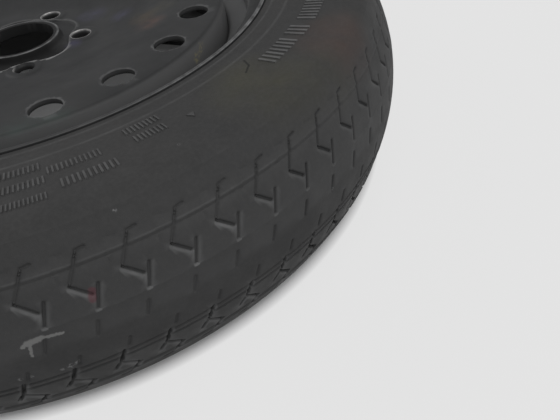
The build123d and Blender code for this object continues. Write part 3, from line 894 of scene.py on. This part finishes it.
# materials
def addNode(tree, kind, inputs=None, **props):
    n = tree.nodes.new(kind)
    for key, value in props.items():
        setattr(n, key, value)
    for key, value in (inputs or {}).items():
        if isinstance(value, bpy.types.NodeSocket):
            tree.links.new(value, n.inputs[key])
        else:
            n.inputs[key].default_value = value
    return n


def newPaint(name):
    mat = bpy.data.materials.new(name)
    mat.use_nodes = True
    tree = mat.node_tree
    return mat, tree, tree.nodes["Principled BSDF"], addNode(tree, "ShaderNodeTexCoord").outputs["Object"]


def noise(tree, coord, scale, detail=3.0, roughness=0.55):
    return addNode(tree, "ShaderNodeTexNoise",
                   {"Vector": coord, "Scale": scale, "Detail": detail, "Roughness": roughness}).outputs["Fac"]


def remap(tree, value, low, high, outLow=0.0, outHigh=1.0):
    return addNode(tree, "ShaderNodeMapRange", {"Value": value, "From Min": low, "From Max": high,
                                                "To Min": outLow, "To Max": outHigh}).outputs["Result"]


def mixTint(tree, amount, first, second):
    return addNode(tree, "ShaderNodeMix", {0: amount, 6: first, 7: second}, data_type="RGBA").outputs[2]


def maths(tree, operation, a, b):
    return addNode(tree, "ShaderNodeMath", {0: a, 1: b}, operation=operation).outputs[0]


def times(tree, a, b):
    return maths(tree, "MULTIPLY", a, b)


def vectorMaths(tree, operation, result, inputs):
    return addNode(tree, "ShaderNodeVectorMath", inputs, operation=operation).outputs[result]


def grey(value, warm=0.0):
    return (value * (1 + warm), value, value * (1 - warm), 1.0)


def bumped(tree, bsdf, height, distance, strength):
    n = addNode(tree, "ShaderNodeBump", {"Height": height, "Distance": distance, "Strength": strength})
    tree.links.new(n.outputs["Normal"], bsdf.inputs["Normal"])


def fieldOf(tree, name):
    return addNode(tree, "ShaderNodeAttribute", attribute_name=name).outputs["Fac"]


def spotMask(tree, coord, centre, radius, soft):
    # one inside a ball about a point, falling to nought over the soft share of its radius
    d = vectorMaths(tree, "DISTANCE", "Value", {0: coord, 1: centre})
    return remap(tree, d, radius, radius * (1 - soft))


def strokeMask(tree, coord, start, end, radius, ragged):
    # one along a straight stroke, with an uneven edge
    start, end = Vector(start), Vector(end)
    span = end - start
    offset = vectorMaths(tree, "SUBTRACT", "Vector", {0: coord, 1: start})
    along = vectorMaths(tree, "DOT_PRODUCT", "Value", {0: offset, 1: span.normalized()})
    along = remap(tree, along, 0.0, span.length, 0.0, span.length)
    foot = vectorMaths(tree, "SCALE", "Vector", {0: span.normalized(), "Scale": along})
    d = maths(tree, "ADD", vectorMaths(tree, "DISTANCE", "Value", {0: offset, 1: foot}), ragged)
    return remap(tree, d, radius, radius * 0.55)


def turnPoint(r, degrees, z):
    a = math.radians(degrees)
    return (r * mm * math.cos(a), r * mm * math.sin(a), z * mm)


def treadPoint(degrees, height):
    r, z, _, _ = tyreSkin(runAt(height * mm))
    return onWheel(r, math.radians(degrees), z)


# the dust tone is tread dust and painted fill light, the lip tone is lip wear and painted highlight, the floor tone is
# painted shade in the grooves
rubberSet = {"dark": 0.037, "pale": 0.041, "dustAndFill": 0.065, "wornAndLit": 0.12, "lip": 0.17, "floor": 0.036, "roughLow": 0.6,
             "roughHigh": 0.78, "scuff": (0.21, 0.21, 0.205, 1)}
# stains on the rubber: place, radius, colour and strength
rubberStains = [
    (turnPoint(256, -63.5, 30), 40 * mm, (0.058, 0.056, 0.040, 1), 0.75),
    (turnPoint(240, -61.0, 29), 30 * mm, (0.058, 0.056, 0.040, 1), 0.55),
    (turnPoint(275, -55.5, 27), 32 * mm, (0.056, 0.054, 0.042, 1), 0.6),
    (turnPoint(270, -48.5, 28), 34 * mm, (0.070, 0.050, 0.044, 1), 0.8),
    (turnPoint(268, -44.5, 29), 24 * mm, (0.066, 0.050, 0.044, 1), 0.6),
]
scuffStrokes = [((-96.3, 10.2), (-98.3, 11.3), 1.15), ((-98.2, 11.2), (-99.6, 10.4), 2.3),
                ((-99.6, 10.4), (-100.1, 8.9), 1.5), ((-99.4, 9.5), (-99.75, 1.6), 1.0)]
paleSpecks = [(treadPoint(-97.1, -15.2), 2.6), (treadPoint(-96.4, -14.6), 2.0), (treadPoint(-98.0, -16.0), 1.6),
              (treadPoint(-102.0, -13.6), 1.8), (treadPoint(-62.5, 0.7), 1.5), (turnPoint(280, -87.5, 22.6), 1.5),
              (treadPoint(-100.9, -14.2), 1.4), (turnPoint(262, -78.0, 29.8), 1.2)]
# thin dark cuts on the sidewall, as radius, angle and height
darkCuts = [((226.7, -58.4, 28.6), (233.5, -59.5, 28.8)), ((233.5, -59.5, 28.8), (237.4, -61.5, 28.9))]


def tyreRubber():
    mat, tree, bsdf, coord = newPaint("tyre_rubber_dressed")
    broad = remap(tree, noise(tree, coord, 16, 4), 0.35, 0.65)
    tint = mixTint(tree, broad, grey(rubberSet["dark"]), grey(rubberSet["pale"], 0.015))
    # upright faces paler: tread dust and painted fill light
    tint = mixTint(tree, fieldOf(tree, "treadDustAndFill"), tint, grey(rubberSet["dustAndFill"]))
    patch = remap(tree, noise(tree, coord, 55, 5), 0.35, 0.65)
    for place, radius, colour, strength in rubberStains:
        mask = times(tree, spotMask(tree, coord, place, radius, 0.8), remap(tree, patch, 0, 1, 0.45, 1.0))
        tint = mixTint(tree, times(tree, mask, strength), tint, colour)
    fine = remap(tree, noise(tree, coord, 420, 3), 0.4, 0.75)
    tint = mixTint(tree, times(tree, fine, 0.10), tint, grey(rubberSet["wornAndLit"], 0.02))
    # lips paler: wear and painted highlight
    wornAndLit = times(tree, fieldOf(tree, "lipWearAndHighlight"), remap(tree, noise(tree, coord, 90, 3), 0.3, 0.7, 0.4, 0.9))
    tint = mixTint(tree, wornAndLit, tint, grey(rubberSet["lip"]))
    # groove floors darker: painted shade
    tint = mixTint(tree, fieldOf(tree, "grooveShade"), tint, grey(rubberSet["floor"]))
    ragged = remap(tree, noise(tree, coord, 900, 3), 0.0, 1.0, -0.9 * mm, 0.9 * mm)
    for start, end, radius in scuffStrokes:
        mask = strokeMask(tree, coord, treadPoint(*start), treadPoint(*end), radius * mm, ragged)
        tint = mixTint(tree, mask, tint, rubberSet["scuff"])
    for start, end in darkCuts:
        mask = strokeMask(tree, coord, turnPoint(*start), turnPoint(*end), 0.9 * mm, times(tree, ragged, 0.5))
        tint = mixTint(tree, times(tree, mask, 0.7), tint, grey(rubberSet["floor"] * 0.3))
    grit = remap(tree, noise(tree, coord, 700, 3), 0.42, 0.6)
    for place, radius in paleSpecks:
        mask = times(tree, spotMask(tree, coord, place, radius * mm, 0.5), grit)
        tint = mixTint(tree, mask, tint, grey(0.2))
    red = strokeMask(tree, coord, treadPoint(-92.3, 27.0), treadPoint(-92.5, 22.5), 2.6 * mm, ragged)
    tint = mixTint(tree, times(tree, red, 0.6), tint, (0.125, 0.045, 0.055, 1))
    tree.links.new(tint, bsdf.inputs["Base Color"])
    rough = remap(tree, noise(tree, coord, 60, 4), 0.3, 0.7, rubberSet["roughLow"], rubberSet["roughHigh"])
    tree.links.new(rough, bsdf.inputs["Roughness"])
    bsdf.inputs["Specular IOR Level"].default_value = 0.2
    bumped(tree, bsdf, noise(tree, coord, 1500, 4), 0.0004, 0.3)
    return mat


# the dust tone is painted fill light, the grime tone is painted shade, the worn tone is edge wear and painted highlight
paintSet = {"dark": 0.022, "pale": 0.032, "wornAndLit": 0.22, "dustAndFill": 0.2, "paintedShade": 0.011, "metal": 0.5, "roughLow": 0.38,
            "roughHigh": 0.55}
# stains on the paint, the three bluish ones on the dish a painted sky reflection: place, radius, colour and strength
paintStainsAndReflections = [
    (turnPoint(64.3, 11.9, 8), 16 * mm, (0.052, 0.050, 0.078, 1), 0.7),
    (turnPoint(84.1, -9.4, 10), 13 * mm, (0.052, 0.050, 0.076, 1), 0.7),
    (turnPoint(49, -41.4, 4), 9 * mm, (0.050, 0.046, 0.085, 1), 0.7),
    (turnPoint(166, -96.4, 14), 20 * mm, (0.040, 0.052, 0.048, 1), 0.7),
    (turnPoint(163, -89.0, 17), 16 * mm, (0.042, 0.056, 0.050, 1), 0.6),
    (turnPoint(113.4, -33.3, 14), 15 * mm, (0.085, 0.052, 0.042, 1), 0.75),
    (turnPoint(104, -24.0, 12), 16 * mm, (0.072, 0.056, 0.040, 1), 0.6),
    (turnPoint(118, -20.0, 14), 14 * mm, (0.064, 0.060, 0.046, 1), 0.5),
]
paintScuffs = [(turnPoint(167.4, -47.5, 11.5), 5.5), (turnPoint(167.4, -50.2, 8.3), 5.0)]


def blackPaint():
    mat, tree, bsdf, coord = newPaint("black_paint_dressed")
    broad = remap(tree, noise(tree, coord, 22, 4), 0.35, 0.65)
    tint = mixTint(tree, broad, grey(paintSet["dark"], -0.02), grey(paintSet["pale"]))
    patch = remap(tree, noise(tree, coord, 120, 5), 0.38, 0.6)
    for place, radius, colour, strength in paintStainsAndReflections:
        mask = times(tree, spotMask(tree, coord, place, radius, 0.75), remap(tree, patch, 0, 1, 0.35, 1.0))
        tint = mixTint(tree, times(tree, mask, strength), tint, colour)
    speck = remap(tree, noise(tree, coord, 700, 2), 0.68, 0.78)
    tint = mixTint(tree, times(tree, speck, 0.3), tint, grey(0.12, 0.05))
    # paler edges: wear and painted highlight
    wornAndLit = times(tree, fieldOf(tree, "edgeWearAndHighlight"), remap(tree, noise(tree, coord, 120, 3), 0.35, 0.65, 0.2, 0.9))
    tint = mixTint(tree, wornAndLit, tint, grey(paintSet["wornAndLit"]))
    # paler faces: painted fill light
    tint = mixTint(tree, fieldOf(tree, "paintedFillLight"), tint, grey(paintSet["dustAndFill"]))
    scratch = remap(tree, noise(tree, coord, 420, 4), 0.45, 0.62)
    for place, radius in paintScuffs:
        mask = times(tree, spotMask(tree, coord, place, radius * mm, 0.6), scratch)
        tint = mixTint(tree, times(tree, mask, 0.8), tint, (0.28, 0.25, 0.15, 1))
    # darker places: painted shade
    tint = mixTint(tree, fieldOf(tree, "paintedShade"), tint, grey(paintSet["paintedShade"]))
    # bare metal, with a painted highlight on one side of a lug seat and on the foot line
    bareAndGlint = times(tree, fieldOf(tree, "bareMetalAndGlint"), remap(tree, noise(tree, coord, 260, 3), 0.3, 0.55, 0.35, 1.0))
    tint = mixTint(tree, bareAndGlint, tint, grey(paintSet["metal"], 0.02))
    tree.links.new(tint, bsdf.inputs["Base Color"])
    tree.links.new(bareAndGlint, bsdf.inputs["Metallic"])
    rough = remap(tree, noise(tree, coord, 35, 4), 0.3, 0.7, paintSet["roughLow"], paintSet["roughHigh"])
    rough = maths(tree, "ADD", rough, times(tree, fieldOf(tree, "paintedShade"), 0.4))
    tree.links.new(rough, bsdf.inputs["Roughness"])
    bsdf.inputs["Specular IOR Level"].default_value = 0.22
    bumped(tree, bsdf, noise(tree, coord, 260, 3), 0.0003, 0.12)
    return mat


def plainFinish(name, low, high, roughLow, roughHigh, metal=0.0, scale=300.0):
    mat, tree, bsdf, coord = newPaint(name)
    tint = mixTint(tree, remap(tree, noise(tree, coord, scale, 3), 0.3, 0.7), low, high)
    tree.links.new(tint, bsdf.inputs["Base Color"])
    rough = remap(tree, noise(tree, coord, scale * 2.2, 3), 0.3, 0.7, roughLow, roughHigh)
    tree.links.new(rough, bsdf.inputs["Roughness"])
    bsdf.inputs["Metallic"].default_value = metal
    bumped(tree, bsdf, noise(tree, coord, scale * 5, 2), 0.00005, 0.2)
    return mat


def giveFinish(piece, mat):
    piece.data.materials.clear()
    piece.data.materials.append(mat)


tyre = buildTyre()
rim = buildRim()
disc = buildDisc()
welds = buildWelds()
ribs = buildWallRibs()
spring = buildSpring()
rubberMat = tyreRubber()
paintMat = blackPaint()
for piece, mat in ((tyre, rubberMat), (rim, paintMat), (disc, paintMat), (welds, paintMat), (ribs, rubberMat)):
    giveFinish(piece, mat)

finishes = {
    "valve_rubber": plainFinish("valve_rubber_dressed", grey(0.018), grey(0.03), 0.5, 0.7),
    "stem_brass": plainFinish("stem_brass_dressed", (0.42, 0.29, 0.10, 1), (0.60, 0.44, 0.18, 1), 0.25, 0.45, 1.0),
    "seal_rubber": plainFinish("seal_rubber_dressed", grey(0.02), grey(0.03, 0.1), 0.5, 0.7),
    "core_steel": plainFinish("core_steel_dressed", grey(0.40), grey(0.55), 0.25, 0.4, 1.0),
    "cap_plastic": plainFinish("cap_plastic_dressed", grey(0.016), grey(0.026), 0.35, 0.5),
    "black_paint": paintMat,
}
for row in frame["record"]["subparts"]:
    if row["material_slot"] in finishes:
        giveFinish(nodes[row["node"]], finishes[row["material_slot"]])
giveFinish(spring, finishes["core_steel"])
shortenSpring(spring)
print("finishes given")

# camera, from a fit of the wheel's holes and edges to the photograph
cameraSet = {"place": (0.00344, -0.5258, 0.2058), "yaw": 20.314, "pitch": 40.436, "roll": 9.081,
             "focal": 627.55, "width": 560, "sensor": 36.0}


def addCamera():
    yaw, pitch, roll = (math.radians(cameraSet[k]) for k in ("yaw", "pitch", "roll"))
    ahead = Vector((math.sin(yaw) * math.cos(pitch), math.cos(yaw) * math.cos(pitch), -math.sin(pitch)))
    right = Vector((math.cos(yaw), -math.sin(yaw), 0))
    down = ahead.cross(right)
    r2 = right * math.cos(roll) + down * math.sin(roll)
    d2 = down * math.cos(roll) - right * math.sin(roll)
    turn = Matrix((r2, -d2, -ahead)).transposed().to_4x4()
    data = bpy.data.cameras.new("camera")
    data.sensor_fit = "HORIZONTAL"
    data.sensor_width = cameraSet["sensor"]
    data.lens = cameraSet["focal"] / cameraSet["width"] * cameraSet["sensor"]
    data.clip_start = 0.01
    cam = bpy.data.objects.new("camera", data)
    cam.matrix_world = Matrix.Translation(cameraSet["place"]) @ turn
    bpy.context.scene.collection.objects.link(cam)
    bpy.context.scene.camera = cam


# underTint and underGlow make the floor under the wheel paler and faintly glowing: painted light
stageSet = {"floorSize": 8.0, "floorTint": 0.42, "underTint": 0.85, "paleTint": 0.84, "shadowShare": 0.14,
            "underGlow": 0.035, "world": 0.36}
# soft lights: power, size and place
lampSet = {"key": (16.0, 1.9, (0.45, -0.78, 1.34)), "fill": (5.0, 1.2, (-0.75, 0.75, 1.0))}


def addStage():
    s = stageSet["floorSize"]
    mesh = bpy.data.meshes.new("floor")
    mesh.from_pydata([(-s, -s, floorZ), (s, -s, floorZ), (s, s, floorZ), (-s, s, floorZ)], [], [(0, 1, 2, 3)])
    floor = bpy.data.objects.new("floor", mesh)
    bpy.context.scene.collection.objects.link(floor)
    mat, tree, bsdf, coord = newPaint("floor_pale")
    bsdf.inputs["Roughness"].default_value = 0.9
    # the floor shows its own pale colour outside the wheel, with a share of its shading; under the wheel a paler tint
    # and a faint glow are painted light
    glow = addNode(tree, "ShaderNodeEmission", {"Color": grey(stageSet["paleTint"])})
    flatCoord = vectorMaths(tree, "MULTIPLY", "Vector", {0: coord, 1: (1, 1, 0)})
    away = vectorMaths(tree, "LENGTH", "Value", {0: flatCoord})
    outside = remap(tree, away, tyreR * 0.93, tyreR * 0.96)
    tint = mixTint(tree, outside, grey(stageSet["underTint"]), grey(stageSet["floorTint"]))
    tree.links.new(tint, bsdf.inputs["Base Color"])
    outside = remap(tree, outside, 0, 1, stageSet["underGlow"], 1 - stageSet["shadowShare"])
    rays = addNode(tree, "ShaderNodeLightPath").outputs
    seen = maths(tree, "MAXIMUM", rays["Is Camera Ray"], rays["Is Glossy Ray"])
    seen = maths(tree, "MAXIMUM", seen, rays["Is Transmission Ray"])
    blend = addNode(tree, "ShaderNodeMixShader",
                    {0: times(tree, outside, seen), 1: bsdf.outputs[0], 2: glow.outputs[0]})
    tree.links.new(blend.outputs[0], tree.nodes["Material Output"].inputs["Surface"])
    floor.data.materials.append(mat)
    world = bpy.data.worlds.new("studio")
    bpy.context.scene.world = world
    world.use_nodes = True
    back = world.node_tree.nodes["Background"]
    back.inputs["Color"].default_value = (0.97, 0.98, 1.0, 1)
    back.inputs["Strength"].default_value = stageSet["world"]
    for name, (power, size, place) in lampSet.items():
        data = bpy.data.lights.new(name, "AREA")
        data.energy = power
        data.size = size
        lamp = bpy.data.objects.new(name, data)
        lamp.location = place
        lamp.rotation_euler = (-Vector(place)).to_track_quat("-Z", "Y").to_euler()
        bpy.context.scene.collection.objects.link(lamp)
    bpy.context.scene.view_settings.view_transform = "Standard"


addCamera()
addStage()
print("camera and stage placed")
